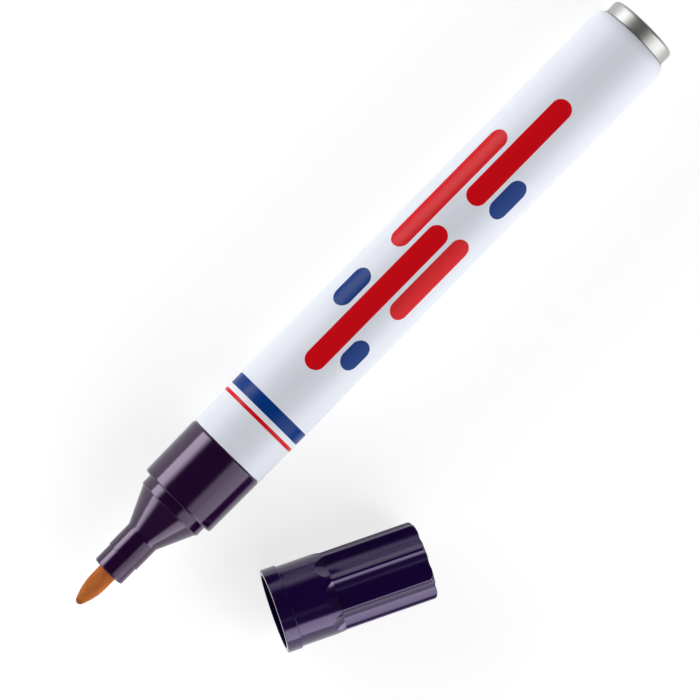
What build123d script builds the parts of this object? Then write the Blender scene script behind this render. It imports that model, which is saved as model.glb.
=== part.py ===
"""A capped fibre-tip marker for invisible ink, in millimetres.

The pen lies along X. The origin is the centre of its flat rear end face, +X runs to the nib and +Z is up.
The cap has been pulled off and lies on the same table, on the +Y side.
"""

from build123d import *
import math
import os

# Barrel tube
BARREL_DIAMETER = 15.4
BARREL_WALL = 0.6
BARREL_LENGTH = 99.2
SHOULDER_LENGTH = 2.2
SHOULDER_DEPTH = 1.15
BARREL_EDGE_RADIUS = 0.15

# Bare metal cup that closes the rear end
CUP_STEP_LENGTH = 2.6
CUP_WALL = 0.5
CUP_EDGE_RADIUS = 0.6
CUP_SKIRT_LENGTH = 4.0

# Nib holder, from the barrel to the nib
SPIGOT_LENGTH = 10.0
SPIGOT_LEAD = 0.6
COLLAR_LENGTH = 12.0
COLLAR_FRONT_DIAMETER = 15.15
COLLAR_REAR_RADIUS = 0.5
COLLAR_FRONT_RADIUS = 0.4
SEAT_LENGTH = 2.0
SEAT_EDGE_RADIUS = 0.2
CONE_LENGTH = 6.5
CONE_STEP = 0.25
SLEEVE_DIAMETER = 6.5
SLEEVE_LENGTH = 4.8
SLEEVE_TIP_STEP = 0.16
SLEEVE_TIP_LENGTH = 3.6
SLEEVE_STEP_RADIUS = 0.13
SLEEVE_EDGE_RADIUS = 0.35
SLEEVE_ROOT_RADIUS = 1.2
FEED_WALL = 2.2
FEED_MOUTH_DIAMETER = 8.8

# Fibre nib
NIB_DIAMETER = 3.5
NIB_STICKOUT = 7.45
NIB_POINT_LENGTH = 5.3
NIB_TIP_RADIUS = 0.75
NIB_BITE = 6.0
NIB_TAIL_CHAMFER = 0.5

# Fibre reservoir and the film round it
WRAP_THICKNESS = 0.1

# Cap
CAP_BODY_DIAMETER = 14.45
CAP_SKIRT_WALL = 0.645
CAP_END_WALL = 1.3
CAP_RING_STEP = 0.275
CAP_RING_LENGTH = 2.65
CAP_RING_EDGE = 0.15
CAP_END_RADIUS = 1.0
CAP_DISH_DEPTH = 0.4
CAP_DISH_SLOPE = 0.8
FLUTE_COUNT = 8
FLUTE_DEPTH = 1.2
FLUTE_START = 10.7
FLUTE_RUN_IN = 2.3
FLUTE_FLOOR_WALL = 1.05
RIDGE_RADIUS = 0.4
RIDGE_DROP = 0.03

# Soft liner in the cap
LINER_END_WALL = 0.8
LINER_NIB_ROOM = 1.0
LINER_SIDE_ROOM = 0.9
LINER_LIP_CHAMFER = 0.6

# Where the cap lies: clear of the barrel, a little ahead of the collar, turned away from the pen
CAP_GAP = 10.8
CAP_LEAD = 1.95
CAP_TURN = -26.8

# Clearances, each on the radius unless it says along
SNUG_CLEARANCE = 0.02
SEAT_CLEARANCE = 0.08
SEAL_CLEARANCE = 0.05
RESERVOIR_CLEARANCE = 0.1
ALONG_CLEARANCE = 0.2

# The most of a wall or step that the rounding of its edge may take
ROUNDING_SHARE = 0.85

# How far a flute's cutter reaches past the surface that it leaves
CUTTER_MARGIN = 1.5


def eased(rounding, wall):
    """The rounding of an edge, kept within the wall or step that it is on."""
    return min(rounding, ROUNDING_SHARE * wall)


# Radii and places along X that follow from the sizes above
barrel_radius = BARREL_DIAMETER / 2
bore_radius = barrel_radius - BARREL_WALL
cup_radius = barrel_radius - SHOULDER_DEPTH - SNUG_CLEARANCE
cup_inner_radius = cup_radius - CUP_WALL
wrap_radius = cup_inner_radius - RESERVOIR_CLEARANCE
core_radius = wrap_radius - WRAP_THICKNESS
nib_radius = NIB_DIAMETER / 2
cap_body_radius = CAP_BODY_DIAMETER / 2
cap_seat_radius = cap_body_radius - CAP_SKIRT_WALL
seat_radius = cap_seat_radius - SEAT_CLEARANCE
cone_radius = seat_radius - CONE_STEP
sleeve_radius = SLEEVE_DIAMETER / 2
sleeve_tip_radius = sleeve_radius - SLEEVE_TIP_STEP
table_z = -barrel_radius

barrel_rear_x = CUP_STEP_LENGTH
shoulder_x = barrel_rear_x + SHOULDER_LENGTH
barrel_front_x = barrel_rear_x + BARREL_LENGTH
spigot_rear_x = barrel_front_x - SPIGOT_LENGTH
collar_front_x = barrel_front_x + COLLAR_LENGTH
seat_front_x = collar_front_x + SEAT_LENGTH
cone_front_x = seat_front_x + CONE_LENGTH
sleeve_step_x = cone_front_x + SLEEVE_LENGTH
sleeve_front_x = sleeve_step_x + SLEEVE_TIP_LENGTH
nib_tip_x = sleeve_front_x + NIB_STICKOUT

feed_x = collar_front_x - FEED_WALL
reservoir_rear_x = CUP_WALL + ALONG_CLEARANCE
reservoir_front_x = feed_x - ALONG_CLEARANCE
nib_tail_x = reservoir_front_x - NIB_BITE

cap_ring_radius = cap_body_radius + CAP_RING_STEP
cap_ring_edge = eased(CAP_RING_EDGE, CAP_RING_STEP)
flute_floor_radius = cap_body_radius - FLUTE_DEPTH
cap_core_radius = flute_floor_radius - FLUTE_FLOOR_WALL
cap_end_rounding = eased(CAP_END_RADIUS, FLUTE_DEPTH)
ridge_centre_radius = cap_body_radius - RIDGE_DROP - RIDGE_RADIUS
half_pitch = math.pi / FLUTE_COUNT
cap_skirt_depth = FLUTE_START - FLUTE_RUN_IN
nib_reach = nib_tip_x - collar_front_x
cap_floor_depth = nib_reach + LINER_NIB_ROOM + LINER_END_WALL
cap_length = cap_floor_depth + CAP_END_WALL


def turned(*corners):
    """A solid turned about X from (x, radius, corner rounding) points, closed along its own outline."""
    points = [(x, radius) for x, radius, rounding in corners]
    roundings = [rounding for x, radius, rounding in corners]
    outline = FilletPolyline(*points, radius=roundings, close=True)
    return revolve(make_face(outline), Axis.X)


def rod(start_x, end_x, radius):
    """A plain round bar along X."""
    return turned((start_x, 0, 0), (end_x, 0, 0), (end_x, radius, 0), (start_x, radius, 0))


def shoulder_arc(skin):
    """The barrel's outer or inner skin as a bar with its rear edge rolled in, skin below the outside."""
    sweep_radius = (SHOULDER_LENGTH**2 + SHOULDER_DEPTH**2) / (2 * SHOULDER_DEPTH)
    arc_radius = sweep_radius - skin
    centre_radius = barrel_radius - sweep_radius
    mouth_angle = math.asin(SHOULDER_LENGTH / sweep_radius)

    def at(angle):
        along = shoulder_x - arc_radius * math.sin(angle)
        return along, centre_radius + arc_radius * math.cos(angle)

    rear_x, rear_radius = at(mouth_angle)
    rolled = ThreePointArc(at(0), at(mouth_angle / 2), (rear_x, rear_radius))
    straight = Polyline(
        (rear_x, rear_radius),
        (rear_x, 0),
        (barrel_front_x, 0),
        (barrel_front_x, barrel_radius - skin),
        at(0),
    )
    return revolve(make_face(rolled + straight), Axis.X)


def make_barrel_tube():
    """Drawn tube, rolled in at the rear over the cup's step."""
    tube = shoulder_arc(0) - shoulder_arc(BARREL_WALL)
    tube -= rod(0, shoulder_x, cup_radius + SNUG_CLEARANCE)
    rims = tube.edges().filter_by(GeomType.CIRCLE).group_by(Axis.X)
    outer_rims = [rims[end].sort_by(SortBy.RADIUS)[-1] for end in (0, -1)]
    return fillet(outer_rims, eased(BARREL_EDGE_RADIUS, BARREL_WALL))


def make_end_cup():
    """Drawn cup: the bare step outside, a flange under the rolled shoulder and a skirt inside the tube."""
    skirt_radius = bore_radius - SNUG_CLEARANCE
    skirt_front_x = shoulder_x + CUP_SKIRT_LENGTH
    return turned(
        (0, 0, 0),
        (0, cup_radius, eased(CUP_EDGE_RADIUS, CUP_STEP_LENGTH)),
        (shoulder_x, cup_radius, 0),
        (shoulder_x, skirt_radius, 0),
        (skirt_front_x, skirt_radius, 0),
        (skirt_front_x, skirt_radius - CUP_WALL, 0),
        (shoulder_x + CUP_WALL, skirt_radius - CUP_WALL, 0),
        (shoulder_x + CUP_WALL, cup_inner_radius, 0),
        (CUP_WALL, cup_inner_radius, 0),
        (CUP_WALL, 0, 0),
    )


def make_nib_holder():
    """Moulded front end: spigot in the barrel, collar, cap seat, cone and stepped sleeve, all hollow."""
    spigot_radius = bore_radius - SNUG_CLEARANCE
    collar_front_radius = COLLAR_FRONT_DIAMETER / 2
    holder = turned(
        (spigot_rear_x, 0, 0),
        (spigot_rear_x, spigot_radius - SPIGOT_LEAD / 2, 0),
        (spigot_rear_x + SPIGOT_LEAD, spigot_radius, 0),
        (barrel_front_x, spigot_radius, 0),
        (barrel_front_x, barrel_radius, eased(COLLAR_REAR_RADIUS, barrel_radius - spigot_radius)),
        (collar_front_x, collar_front_radius, eased(COLLAR_FRONT_RADIUS, collar_front_radius - seat_radius)),
        (collar_front_x, seat_radius, 0),
        (seat_front_x, seat_radius, eased(SEAT_EDGE_RADIUS, CONE_STEP)),
        (seat_front_x, cone_radius, 0),
        (cone_front_x, sleeve_radius, SLEEVE_ROOT_RADIUS),
        (sleeve_step_x, sleeve_radius, eased(SLEEVE_STEP_RADIUS, SLEEVE_TIP_STEP)),
        (sleeve_step_x, sleeve_tip_radius, 0),
        (sleeve_front_x, sleeve_tip_radius, eased(SLEEVE_EDGE_RADIUS, sleeve_tip_radius - nib_radius)),
        (sleeve_front_x, 0, 0),
    )
    nib_bore_radius = nib_radius + SNUG_CLEARANCE
    hollow = turned(
        (spigot_rear_x, 0, 0),
        (spigot_rear_x, wrap_radius + RESERVOIR_CLEARANCE, 0),
        (feed_x, wrap_radius + RESERVOIR_CLEARANCE, 0),
        (feed_x, FEED_MOUTH_DIAMETER / 2, 0),
        (cone_front_x, nib_bore_radius, 0),
        (sleeve_front_x, nib_bore_radius, 0),
        (sleeve_front_x, 0, 0),
    )
    return holder - hollow


def make_nib():
    """Fibre rod with a bullet point: a small round tip that runs smoothly out to the rod."""
    point_x = nib_tip_x - NIB_POINT_LENGTH
    run = NIB_POINT_LENGTH - NIB_TIP_RADIUS
    flank_radius = (run**2 + nib_radius**2 - NIB_TIP_RADIUS**2) / (2 * (nib_radius - NIB_TIP_RADIUS))
    blend_angle = math.asin(run / (flank_radius - NIB_TIP_RADIUS))
    tip_centre_x = nib_tip_x - NIB_TIP_RADIUS

    def on_tip(angle):
        return tip_centre_x + NIB_TIP_RADIUS * math.sin(angle), NIB_TIP_RADIUS * math.cos(angle)

    def on_flank(angle):
        along = point_x + flank_radius * math.sin(angle)
        return along, nib_radius - flank_radius + flank_radius * math.cos(angle)

    tip = ThreePointArc((nib_tip_x, 0), on_tip((blend_angle + math.pi / 2) / 2), on_tip(blend_angle))
    flank = ThreePointArc(on_tip(blend_angle), on_flank(blend_angle / 2), on_flank(0))
    body = Polyline(
        on_flank(0),
        (nib_tail_x + NIB_TAIL_CHAMFER, nib_radius),
        (nib_tail_x, nib_radius - NIB_TAIL_CHAMFER),
        (nib_tail_x, 0),
        (nib_tip_x, 0),
    )
    return revolve(make_face(tip + flank + body), Axis.X)


def make_ink_reservoir():
    """Fibre rod, with the hole that the nib's tail presses into its front end."""
    core = rod(reservoir_rear_x, reservoir_front_x, core_radius)
    return core - rod(nib_tail_x, reservoir_front_x, nib_radius + SNUG_CLEARANCE)


def make_reservoir_wrap():
    """Film round the reservoir, open at both ends."""
    film = rod(reservoir_rear_x, reservoir_front_x, wrap_radius)
    return film - rod(reservoir_rear_x, reservoir_front_x, core_radius)


def flute_section():
    """What one flute takes away, seen across the cap: a hollow arc that rolls over the ridges beside it."""
    ridge_near = ridge_centre_radius * math.cos(half_pitch)
    gap = flute_floor_radius - ridge_near
    flute_radius = (RIDGE_RADIUS**2 - gap**2 - (ridge_centre_radius * math.sin(half_pitch)) ** 2) / (
        2 * (gap - RIDGE_RADIUS)
    )
    flute_centre = Vector(0, flute_floor_radius + flute_radius)
    ridge_centre = Vector(ridge_centre_radius, 0).rotate(Axis.Z, 90 - math.degrees(half_pitch))
    to_flute = (flute_centre - ridge_centre).normalized()
    outward = ridge_centre.normalized()
    blend = ridge_centre + to_flute * RIDGE_RADIUS
    ridge_side = ridge_centre + (to_flute + outward).normalized() * RIDGE_RADIUS
    ridge_top = ridge_centre + outward * RIDGE_RADIUS
    outer_corner = Vector(flute_centre.Y * math.tan(half_pitch) + CUTTER_MARGIN, flute_centre.Y)

    def mirrored(point):
        return Vector(-point.X, point.Y)

    outline = ThreePointArc(blend, Vector(0, flute_floor_radius), mirrored(blend))
    outline += ThreePointArc(mirrored(blend), mirrored(ridge_side), mirrored(ridge_top))
    outline += Polyline(mirrored(ridge_top), mirrored(outer_corner), outer_corner, ridge_top)
    outline += ThreePointArc(ridge_top, ridge_side, blend)
    across = Plane(origin=(-FLUTE_START, 0, 0), x_dir=(0, 1, 0), z_dir=(1, 0, 0))
    return across * make_face(outline)


def flute_cutter():
    """One flute's cutter: straight through the closed end, and climbing out of the cap towards the mouth."""
    section = flute_section()
    run_out = extrude(section, amount=cap_length, dir=(-1, 0, 0))
    climb = Vector(FLUTE_RUN_IN, 0, FLUTE_DEPTH)
    return run_out + extrude(section, amount=climb.length + CUTTER_MARGIN, dir=climb.normalized())


def cap_dish():
    """The shallow hollow in the cap's closed end, inside the rounding of its ridges."""
    rim_radius = cap_body_radius - cap_end_rounding
    floor_x = CAP_DISH_DEPTH - cap_length
    return turned(
        (-cap_length, 0, 0),
        (-cap_length, rim_radius, 0),
        (floor_x, rim_radius - CAP_DISH_SLOPE, 0),
        (floor_x, 0, 0),
    )


def cap_outside():
    """The cap's outer form on X, mouth at the origin: its ridges stand proud of its dished closed end."""
    outside = turned(
        (0, 0, 0),
        (0, cap_ring_radius, cap_ring_edge),
        (-CAP_RING_LENGTH, cap_ring_radius, cap_ring_edge),
        (-CAP_RING_LENGTH, cap_body_radius, 0),
        (-cap_length, cap_body_radius, cap_end_rounding),
        (-cap_length, 0, 0),
    )
    cutter = flute_cutter()
    for number in range(FLUTE_COUNT):
        outside -= Rot(X=360 / FLUTE_COUNT * number) * cutter
    return outside - cap_dish()


def make_cap_shell():
    """Fluted cap, with a wide bore at the mouth for the seat ring and the cone and a core for the liner."""
    bore = turned(
        (0, 0, 0),
        (0, cap_seat_radius, 0),
        (-cap_skirt_depth, cap_seat_radius, 0),
        (-cap_skirt_depth, cap_core_radius, 0),
        (-cap_floor_depth, cap_core_radius, 0),
        (-cap_floor_depth, 0, 0),
    )
    return cap_outside() - bore


def make_cap_liner():
    """Soft cup pressed into the cap's core: a seal on the sleeve's tip, then room for the nib."""
    seal_radius = sleeve_tip_radius + SEAL_CLEARANCE
    lip_depth = sleeve_step_x - collar_front_x + ALONG_CLEARANCE
    seal_depth = sleeve_front_x - collar_front_x + ALONG_CLEARANCE
    room_depth = nib_reach + LINER_NIB_ROOM
    room_radius = nib_radius + LINER_SIDE_ROOM
    outer_radius = cap_core_radius - SNUG_CLEARANCE
    return turned(
        (-lip_depth, outer_radius, 0),
        (-lip_depth, seal_radius + LINER_LIP_CHAMFER, 0),
        (-lip_depth - LINER_LIP_CHAMFER, seal_radius, 0),
        (-seal_depth, seal_radius, 0),
        (-seal_depth, room_radius, 0),
        (-room_depth, room_radius, 0),
        (-room_depth, 0, 0),
        (-cap_floor_depth, 0, 0),
        (-cap_floor_depth, outer_radius, 0),
    )


def cap_place():
    """Lays the cap on the table: it rests on its mouth ring and on the two ridges beside its lowest flute."""
    ridge_height = ridge_centre_radius * math.cos(half_pitch) + RIDGE_RADIUS
    ridge_drop = cap_body_radius - math.hypot(ridge_height, ridge_centre_radius * math.sin(half_pitch))
    ridge_overrun = math.sqrt(ridge_drop * (2 * cap_end_rounding - ridge_drop))
    ring_depth = CAP_RING_LENGTH - cap_ring_edge
    ridge_depth = cap_length - cap_end_rounding + ridge_overrun
    tilt = math.atan((cap_ring_radius - ridge_height) / (ridge_depth - ring_depth))
    mouth_x = collar_front_x + CAP_LEAD
    mouth_y = barrel_radius + CAP_GAP + cap_ring_radius * math.cos(math.radians(CAP_TURN))
    mouth_z = table_z + cap_ring_radius * math.cos(tilt) + ring_depth * math.sin(tilt)
    return Pos(mouth_x, mouth_y, mouth_z) * Rot(Z=CAP_TURN) * Rot(Y=-math.degrees(tilt))


def make_parts():
    """Every piece under its name, where it lies."""
    place = cap_place()
    return {
        "barrel_tube": make_barrel_tube(),
        "end_cup": make_end_cup(),
        "nib_holder": make_nib_holder(),
        "nib": make_nib(),
        "ink_reservoir": make_ink_reservoir(),
        "reservoir_wrap": make_reservoir_wrap(),
        "cap_shell": place * make_cap_shell(),
        "cap_liner": place * make_cap_liner(),
    }


os.makedirs("parts", exist_ok=True)
for name, solid in make_parts().items():
    solid.label = name
    export_step(solid, f"parts/{name}.step")
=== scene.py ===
"""Looks of a fibre-tip marker for invisible ink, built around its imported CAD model, in metres.

The pen lies along X with its nib to +X, its cap lies beside it on the +Y side, and Z is up.
"""
import functools
import math

import bpy
from mathutils import Matrix, Vector


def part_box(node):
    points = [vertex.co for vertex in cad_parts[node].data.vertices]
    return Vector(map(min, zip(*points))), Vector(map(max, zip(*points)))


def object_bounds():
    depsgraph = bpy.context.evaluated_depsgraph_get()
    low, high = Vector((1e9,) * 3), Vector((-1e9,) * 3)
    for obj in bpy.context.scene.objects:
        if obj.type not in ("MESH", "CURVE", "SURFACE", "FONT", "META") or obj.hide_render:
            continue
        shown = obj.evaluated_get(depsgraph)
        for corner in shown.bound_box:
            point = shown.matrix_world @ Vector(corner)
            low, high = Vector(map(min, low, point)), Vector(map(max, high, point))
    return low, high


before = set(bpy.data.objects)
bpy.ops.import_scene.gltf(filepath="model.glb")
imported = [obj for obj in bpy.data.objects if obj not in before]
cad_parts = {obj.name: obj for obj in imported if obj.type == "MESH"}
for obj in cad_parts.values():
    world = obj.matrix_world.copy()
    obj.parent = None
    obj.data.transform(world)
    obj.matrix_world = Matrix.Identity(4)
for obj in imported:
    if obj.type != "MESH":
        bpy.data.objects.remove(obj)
cad_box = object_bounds()
barrel_low, barrel_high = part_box("barrel_tube")
nib_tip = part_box("nib")[1].x
barrel_radius = barrel_high.y

MM = 0.001
MICRON = 0.000001

# Camera: the photograph's viewing angle, with its roll in radians and its lens in millimetres
CAMERA_PLACE = Vector((0.095, -0.080, 0.770))
CAMERA_AIM = Vector((0.07475, 0.0029, 0))
CAMERA_UP = Vector((-1, -1, 0))
CAMERA_ROLL = -0.0038
CAMERA_LENS = 233.16

# Light tent: a direction's lean is in degrees from straight up, and its X is 1 straight towards the nib
WHITE_LIGHT = (1, 1, 1, 1)
HORIZON = 90
ROOF_LEVEL = 0.03
TENT_END_START = 0.6
TENT_END = 0.85
TENT_END_LEVEL = 0.1

# Key wall on the -Y side
KEY_TOP = 49
KEY_FULL = 72
KEY_LEVEL = 5.8
KEY_CORE = 0.12
KEY_CORE_END = 0.30
KEY_SIDE_SHARE = 0.57
KEY_NIB_GAIN = 1.3

# Fill wall on the +Y side, and the brighter panel near its rear end
FILL_TOP = 18
FILL_FULL = 34
FILL_LEVEL = 1.65
FILL_HORIZON_EXTRA = 0.4
FILL_END_START = -0.33
FILL_END = -0.45
PANEL_START = -0.14
PANEL_FULL = -0.22
PANEL_GAIN = 2.7

# Front wall, which takes the fill wall's place towards the nib
FRONT_START = 0.055
FRONT_FULL = 0.10
FRONT_TOP = 48
FRONT_EDGE = 54
FRONT_LEVEL = 3.5

# Floor: its colour for the light that it sends on, and its colour and glow where it is seen
FLOOR_SIZE = 4
FLOOR_WHITE = (0.65, 0.65, 0.65)
FLOOR_SEEN = (0.42, 0.42, 0.42)
FLOOR_GLOW = 0.77
FLOOR_ROUGHNESS = 0.9

# White lacquer: cloudy patches and a faint orange peel
RESIN_IOR = 1.45
LACQUER = (0.84, 0.87, 0.95)
LACQUER_CLOUD = (0.86, 0.87, 0.90)
LACQUER_SHINE = 0.15
LACQUER_ROUGHNESS = (0.30, 0.32)
CLOUD_SIZE = 6 * MM
CLOUD_SHARE = 0.06
PEEL_SIZE = 2.5 * MM
PEEL_DETAIL = 0
PEEL_HEIGHT = 0.8 * MICRON
# Rolled rear rim: its bare cut edge, darkened further with painted shade where the seam meets the end cup
RIM_EDGE_AND_SHADE_GREY = (0.035, 0.035, 0.04)
RIM_WIDTH = 0.4 * MM

# Print on the barrel: bars in lanes along it and bands round it, by their places along X from the rear end
PRINT_RED = (0.72, 0.004, 0.010)
PRINT_NAVY = (0.003, 0.040, 0.230)
PRINT_EDGE = 0.03 * MM
PRINT_THICKNESS = 6 * MICRON
PRINT_SMOOTHING = 0.05
LANE_PITCH = 4.6 * MM
FIRST_LANE = -5.6 * MM
BAR_HALF = 1.9 * MM
BARS = (
    (0, 30 * MM, 57 * MM, PRINT_RED),
    (0, 63 * MM, 71 * MM, PRINT_NAVY),
    (1, 19 * MM, 43 * MM, PRINT_RED),
    (1, 49 * MM, 82 * MM, PRINT_RED),
    (2, 34 * MM, 42 * MM, PRINT_NAVY),
    (2, 48 * MM, 66 * MM, PRINT_RED),
    (2, 72 * MM, 78 * MM, PRINT_NAVY),
)
BANDS = (
    (90.4 * MM, 92.8 * MM, PRINT_NAVY),
    (93.8 * MM, 94.5 * MM, PRINT_RED),
)

# Turned metal: fine rings and faint stains
ALUMINIUM = (0.44, 0.44, 0.43)
ALUMINIUM_STAINED = (0.40, 0.40, 0.39)
METAL_ROUGHNESS = (0.36, 0.48)
RING_PITCH = 0.07 * MM
RING_HEIGHT = 1.2 * MICRON
STAIN_SIZE = 3 * MM
STAIN_SHARE = 0.35
STAIN_ROUGHNESS = 0.08

# Gloss plastic: faint flow marks and an uneven skin
GLOSS_IOR = 1.65
GLOSS_ROUGHNESS = (0.09, 0.17)
FLOW_SIZE = 5 * MM
FLOW_DETAIL = 3
SKIN_SIZE = 1.6 * MM
SKIN_HEIGHT = 1.5 * MICRON
HOLDER_VIOLET = (0.020, 0.002, 0.032)
HOLDER_DEEP = (0.014, 0.001, 0.024)
HOLDER_GLEAM = (0.90, 0.74, 1.0)
CAP_VIOLET = (0.011, 0.0015, 0.047)
CAP_DEEP = (0.008, 0.001, 0.035)
CAP_GLEAM = (0.76, 0.62, 1.0)

# Satin plastic: a fine grain
SATIN_IOR = 1.5
SATIN_ROUGHNESS = (0.40, 0.55)
GRAIN_SIZE = 0.25 * MM
GRAIN_HEIGHT = 4 * MICRON
LINER_VIOLET = (0.024, 0.010, 0.040)
LINER_DEEP = (0.015, 0.006, 0.028)

# Bonded fibre: strands along X, and ink that soaks the nib's tip and frays along them
FIBRE_ROUGHNESS = 0.8
FIBRE_SHINE = 0.3
STRAND_STRETCH = 14
STRAND_DETAIL = 4
STRAND_DARK_BELOW = 0.3
STRAND_LIGHT_ABOVE = 0.7
STRAND_HEIGHT_SHARE = 1 / 16
NIB_STRAND = 0.22 * MM
NIB_LIGHT = (0.54, 0.155, 0.028)
NIB_DARK = (0.44, 0.108, 0.016)
NIB_WET = (0.20, 0.055, 0.012)
SOAK_LENGTH = 1.1 * MM
SOAK_BEYOND = 0.5 * MM
SOAK_FRAY = 0.3 * MM
WADDING_STRAND = 0.4 * MM
WADDING_LIGHT = (0.82, 0.82, 0.78)
WADDING_DARK = (0.62, 0.62, 0.57)

# Clear film: faint creases along X
FILM = (0.80, 0.82, 0.84)
FILM_CLEARNESS = 0.8
FILM_ROUGHNESS = (0.12, 0.32)
CREASE_SIZE = 0.6 * MM
CREASE_STRETCH = 20
CREASE_HEIGHT = 5 * MICRON


class Field:
    """A number that varies over a surface: a shader socket that takes part in plain arithmetic."""

    def __init__(self, tree, socket):
        self.tree = tree
        self.socket = socket

    def math(self, operation, *others):
        """What one of Blender's math operations makes of this field and the others."""
        node = self.tree.nodes.new("ShaderNodeMath")
        node.operation = operation
        for entry, value in zip(node.inputs, (self, *others)):
            connect(value, entry)
        return Field(self.tree, node.outputs[0])

    def __add__(self, other):
        return self.math("ADD", other)

    def __sub__(self, other):
        return self.math("SUBTRACT", other)

    def __mul__(self, other):
        return self.math("MULTIPLY", other)

    def __truediv__(self, other):
        return self.math("DIVIDE", other)

    def __abs__(self):
        return self.math("ABSOLUTE")

    def larger(self, other):
        return self.math("MAXIMUM", other)

    def length(self, other):
        """The length of the slope between two sides at a right angle."""
        return (self * self + other * other).math("SQRT")

    def between(self, low, high):
        """Goes from low to high as the field goes from 0 to 1."""
        return self * (high - low) + low

    def toward(self, other, share):
        """Goes from this field to the other one as the share goes from 0 to 1."""
        return self - (self - other) * share

    def step(self, low, high, start=0.0, end=1.0):
        """Runs smoothly from start at low to end at high, and keeps level beyond them."""
        node = self.tree.nodes.new("ShaderNodeMapRange")
        node.interpolation_type = "SMOOTHSTEP"
        entries = {"Value": self, "From Min": low, "From Max": high, "To Min": start, "To Max": end}
        for name, value in entries.items():
            connect(value, node.inputs[name])
        return Field(self.tree, node.outputs[0])


def connect(value, entry):
    """Links a field or a socket to a node's entry, or sets the entry to a plain value."""
    if isinstance(value, Field):
        value.tree.links.new(value.socket, entry)
    elif isinstance(value, bpy.types.NodeSocket):
        value.id_data.links.new(value, entry)
    else:
        entry.default_value = value


def split(socket):
    """The three numbers of a vector socket."""
    tree = socket.id_data
    node = tree.nodes.new("ShaderNodeSeparateXYZ")
    connect(socket, node.inputs[0])
    return [Field(tree, output) for output in node.outputs]


def places(tree):
    """Where a point of a CAD piece lies, in the shared frame at rest."""
    return tree.nodes.new("ShaderNodeTexCoord").outputs["Object"]


def noise(tree, size, stretch=1, detail=2):
    """Even noise from 0 to 1 with grains of that size, stretched along X."""
    mapping = tree.nodes.new("ShaderNodeMapping")
    connect(places(tree), mapping.inputs["Vector"])
    mapping.inputs["Scale"].default_value = (1 / stretch, 1, 1)
    node = tree.nodes.new("ShaderNodeTexNoise")
    connect(mapping.outputs["Vector"], node.inputs["Vector"])
    node.inputs["Scale"].default_value = 1 / size
    node.inputs["Detail"].default_value = detail
    return Field(tree, node.outputs["Fac"])


def ring_noise(tree, pitch):
    """Noise from 0 to 1 in rings round X, on a turned side and on a turned end."""
    x, y, z = split(places(tree))
    node = tree.nodes.new("ShaderNodeTexNoise")
    node.noise_dimensions = "1D"
    connect((x + y.length(z)) / pitch, node.inputs["W"])
    node.inputs["Scale"].default_value = 1
    return Field(tree, node.outputs["Fac"])


def mix(factor, first, second):
    """A colour that goes from the first to the second as the factor goes from 0 to 1."""
    node = factor.tree.nodes.new("ShaderNodeMix")
    node.data_type = "RGBA"
    entries = {entry.identifier: entry for entry in node.inputs}
    outputs = {output.identifier: output for output in node.outputs}
    connect(factor, entries["Factor_Float"])
    for name, colour in (("A_Color", first), ("B_Color", second)):
        connect((*colour, 1) if isinstance(colour, tuple) else colour, entries[name])
    return outputs["Result_Color"]


def relief(height):
    """The surface direction of a fine relief, whose height is in metres."""
    node = height.tree.nodes.new("ShaderNodeBump")
    node.inputs["Distance"].default_value = 1
    connect(height, node.inputs["Height"])
    return node.outputs["Normal"]


def new_material(name, settings):
    """A material of one Principled shader with the given plain settings."""
    material = bpy.data.materials.new(name)
    material.use_nodes = True
    shader = material.node_tree.nodes["Principled BSDF"]
    for socket, value in settings.items():
        shader.inputs[socket].default_value = value
    return material, material.node_tree, shader


def inside(distance):
    """1 inside an outline and 0 outside it, from the distance to the outline."""
    return distance.step(-PRINT_EDGE, PRINT_EDGE, 1, 0)


def bar(x, arc, lane, start, end):
    """1 on a printed bar with round ends."""
    beyond = abs(x - (start + end) / 2) - ((end - start) / 2 - BAR_HALF)
    beside = arc - (FIRST_LANE + lane * LANE_PITCH)
    return inside(beyond.larger(0).length(beside) - BAR_HALF)


def band(x, start, end):
    """1 on a printed band round the barrel."""
    return inside(abs(x - (start + end) / 2) - (end - start) / 2)


def print_layers(x, y, z):
    """The place of each printed bar and band, as a field that is 1 on it, with its ink."""
    arc = y.math("ARCTAN2", z) * barrel_radius
    bars = [(bar(x, arc, lane, start, end), ink) for lane, start, end, ink in BARS]
    bands = [(band(x, start, end), ink) for start, end, ink in BANDS]
    return bars + bands


def white_lacquer():
    """White lacquer on the tube, printed with generic bars and bands, and painted dark on its rolled rear
    rim: the bare cut edge, with painted shade of the seam beside the end cup.
    """
    settings = {"IOR": RESIN_IOR, "Specular IOR Level": LACQUER_SHINE}
    material, tree, shader = new_material("white_lacquer", settings)
    x, y, z = split(places(tree))
    cloud = noise(tree, CLOUD_SIZE)
    peel = noise(tree, PEEL_SIZE, detail=PEEL_DETAIL)
    layers = print_layers(x, y, z)
    colour = mix(cloud * CLOUD_SHARE, LACQUER, LACQUER_CLOUD)
    for mask, ink in layers:
        colour = mix(mask, colour, ink)
    printed = functools.reduce(Field.larger, [mask for mask, ink in layers])
    # Painted shade: a dark grey line on the rolled rear rim, for the bare edge and the shaded seam at the
    # end cup
    rim = x.step(barrel_low.x, barrel_low.x + RIM_WIDTH, 1, 0)
    connect(mix(rim, colour, RIM_EDGE_AND_SHADE_GREY), shader.inputs["Base Color"])
    connect(cloud.between(*LACQUER_ROUGHNESS) - printed * PRINT_SMOOTHING, shader.inputs["Roughness"])
    connect(relief(peel * PEEL_HEIGHT + printed * PRINT_THICKNESS), shader.inputs["Normal"])
    return material


def turned_metal():
    """Bright aluminium with the fine rings that turning leaves on its side and its end."""
    material, tree, shader = new_material("bare_metal", {"Metallic": 1})
    rings = ring_noise(tree, RING_PITCH)
    stain = noise(tree, STAIN_SIZE)
    connect(mix(stain * STAIN_SHARE, ALUMINIUM, ALUMINIUM_STAINED), shader.inputs["Base Color"])
    connect(rings.between(*METAL_ROUGHNESS) + stain * STAIN_ROUGHNESS, shader.inputs["Roughness"])
    connect(relief(rings * RING_HEIGHT), shader.inputs["Normal"])
    return material


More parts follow.
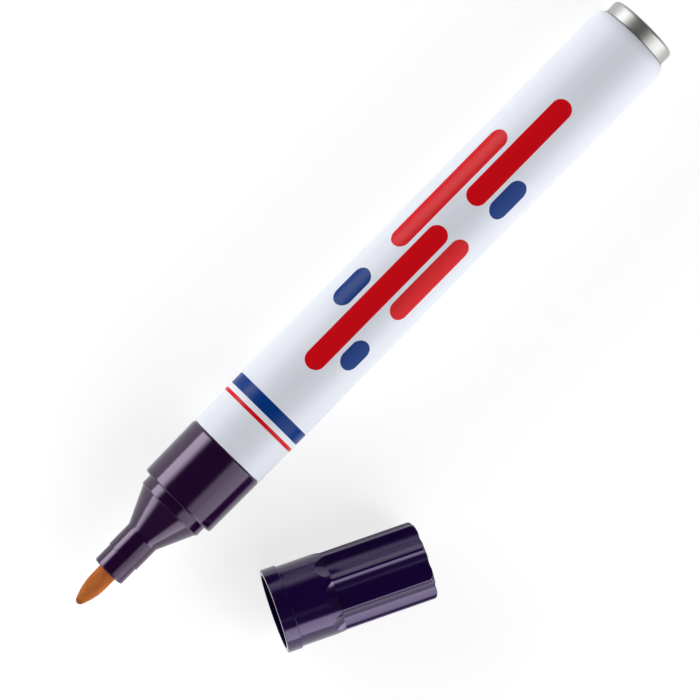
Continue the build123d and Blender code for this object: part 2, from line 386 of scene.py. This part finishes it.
def gloss_plastic(name, colour, deep, gleam):
    """Moulded gloss plastic: a dark colour with faint flow marks and a skin that is a little uneven."""
    material, tree, shader = new_material(name, {"IOR": GLOSS_IOR, "Specular Tint": (*gleam, 1)})
    flow = noise(tree, FLOW_SIZE, detail=FLOW_DETAIL)
    skin = noise(tree, SKIN_SIZE)
    connect(mix(flow, colour, deep), shader.inputs["Base Color"])
    connect(flow.between(*GLOSS_ROUGHNESS), shader.inputs["Roughness"])
    connect(relief(skin * SKIN_HEIGHT), shader.inputs["Normal"])
    return material


def satin_plastic():
    """Soft satin plastic of the cap's liner, with a fine even grain."""
    material, tree, shader = new_material("liner_plastic", {"IOR": SATIN_IOR})
    grain = noise(tree, GRAIN_SIZE)
    connect(mix(grain, LINER_VIOLET, LINER_DEEP), shader.inputs["Base Color"])
    connect(grain.between(*SATIN_ROUGHNESS), shader.inputs["Roughness"])
    connect(relief(grain * GRAIN_HEIGHT), shader.inputs["Normal"])
    return material


def new_fibre(name, strand):
    """A matt material of fibres bonded side by side along X, and how light each strand is, from 0 to 1."""
    settings = {"Roughness": FIBRE_ROUGHNESS, "IOR": RESIN_IOR, "Specular IOR Level": FIBRE_SHINE}
    material, tree, shader = new_material(name, settings)
    strands = noise(tree, strand, STRAND_STRETCH, STRAND_DETAIL)
    connect(relief(strands * (strand * STRAND_HEIGHT_SHARE)), shader.inputs["Normal"])
    return material, shader, strands.step(STRAND_DARK_BELOW, STRAND_LIGHT_ABOVE)


def nib_fibre():
    """The nib's fibres, darker where ink has soaked its very tip."""
    material, shader, tone = new_fibre("nib_fibre", NIB_STRAND)
    along = split(places(tone.tree))[0]
    soaked = (along + tone * SOAK_FRAY).step(nib_tip - SOAK_LENGTH, nib_tip + SOAK_BEYOND)
    connect(mix(soaked, mix(tone, NIB_DARK, NIB_LIGHT), NIB_WET), shader.inputs["Base Color"])
    return material


def reservoir_fibre():
    """The pale wadding that holds the ink."""
    material, shader, tone = new_fibre("reservoir_fibre", WADDING_STRAND)
    connect(mix(tone, WADDING_DARK, WADDING_LIGHT), shader.inputs["Base Color"])
    return material


def thin_film():
    """Clear film round the reservoir, with faint creases along it."""
    settings = {"Base Color": (*FILM, 1), "Transmission Weight": FILM_CLEARNESS}
    material, tree, shader = new_material("clear_film", settings)
    crease = noise(tree, CREASE_SIZE, CREASE_STRETCH)
    connect(crease.between(*FILM_ROUGHNESS), shader.inputs["Roughness"])
    connect(relief(crease * CREASE_HEIGHT), shader.inputs["Normal"])
    return material


def dress(finishes):
    """Gives each CAD piece its finish."""
    for node, material in finishes.items():
        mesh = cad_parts[node].data
        mesh.materials.clear()
        mesh.materials.append(material)


def add_camera():
    """The scene's camera, upright along CAMERA_UP and then rolled."""
    back = (CAMERA_PLACE - CAMERA_AIM).normalized()
    right = CAMERA_UP.cross(back).normalized()
    up = back.cross(right)
    turn = Matrix((right, up, back)).transposed().to_4x4()
    data = bpy.data.cameras.new("camera")
    data.lens = CAMERA_LENS
    camera = bpy.data.objects.new("camera", data)
    camera.matrix_world = Matrix.Translation(CAMERA_PLACE) @ turn @ Matrix.Rotation(CAMERA_ROLL, 4, "Z")
    bpy.context.collection.objects.link(camera)
    bpy.context.scene.camera = camera


def key_wall(x, lean):
    """The low bright wall on the -Y side: dimmer beside its middle, and brighter towards the nib."""
    wall = lean.step(-KEY_FULL, -KEY_TOP, KEY_LEVEL, 0)
    wall *= abs(x).step(KEY_CORE, KEY_CORE_END, 1, KEY_SIDE_SHARE)
    return wall * (x * KEY_NIB_GAIN + 1).larger(0)


def fill_wall(x, lean):
    """The softer wall on the +Y side, with the front wall near the nib and the panel near its rear end."""
    wall = lean.step(FILL_TOP, FILL_FULL, 0, FILL_LEVEL)
    wall += lean.step(FILL_FULL, HORIZON, 0, FILL_HORIZON_EXTRA)
    front = lean.step(FRONT_TOP, FRONT_EDGE, 0, FRONT_LEVEL)
    wall = wall.toward(front, x.step(FRONT_START, FRONT_FULL))
    panel = x.step(PANEL_FULL, PANEL_START, PANEL_GAIN, 1)
    return wall * panel * x.step(FILL_END, FILL_END_START)


def add_light_tent():
    """A dark roof over the two walls, with dim ends."""
    world = bpy.data.worlds.new("light_tent")
    world.use_nodes = True
    bpy.context.scene.world = world
    tree = world.node_tree
    x, y, z = split(tree.nodes.new("ShaderNodeTexCoord").outputs["Generated"])
    lean = y.math("ARCTAN2", z) * math.degrees(1)
    walls = key_wall(x, lean) + fill_wall(x, lean)
    level = walls.toward(TENT_END_LEVEL, abs(x).step(TENT_END_START, TENT_END)).larger(ROOF_LEVEL)
    light = tree.nodes["Background"]
    light.inputs["Color"].default_value = WHITE_LIGHT
    connect(level, light.inputs["Strength"])


def floor_material():
    """Plain white, lifted to the photograph's white where the camera or a reflection sees it."""
    settings = {"Roughness": FLOOR_ROUGHNESS, "Specular IOR Level": 0, "Emission Color": WHITE_LIGHT}
    material, tree, shader = new_material("floor_white", settings)
    path = tree.nodes.new("ShaderNodeLightPath")
    seen = Field(tree, path.outputs["Is Camera Ray"])
    for kind in ("Is Glossy Ray", "Is Transmission Ray"):
        seen = seen.larger(path.outputs[kind])
    connect(mix(seen, FLOOR_WHITE, FLOOR_SEEN), shader.inputs["Base Color"])
    connect(seen * FLOOR_GLOW, shader.inputs["Emission Strength"])
    return material


def add_floor():
    """A square floor under the part, which belongs to the stage."""
    half = FLOOR_SIZE / 2
    centre = Vector((CAMERA_AIM.x, CAMERA_AIM.y, cad_box[0].z))
    corners = [centre + Vector((half * a, half * b, 0)) for a, b in ((-1, -1), (1, -1), (1, 1), (-1, 1))]
    mesh = bpy.data.meshes.new("floor")
    mesh.from_pydata(corners, [], [range(len(corners))])
    mesh.materials.append(floor_material())
    floor = bpy.data.objects.new("floor", mesh)
    bpy.context.collection.objects.link(floor)


dress({
    "barrel_tube": white_lacquer(),
    "end_cup": turned_metal(),
    "nib_holder": gloss_plastic("holder_plastic", HOLDER_VIOLET, HOLDER_DEEP, HOLDER_GLEAM),
    "nib": nib_fibre(),
    "ink_reservoir": reservoir_fibre(),
    "reservoir_wrap": thin_film(),
    "cap_shell": gloss_plastic("cap_plastic", CAP_VIOLET, CAP_DEEP, CAP_GLEAM),
    "cap_liner": satin_plastic(),
})
add_floor()
add_light_tent()
add_camera()
bpy.context.scene.view_settings.view_transform = "Standard"
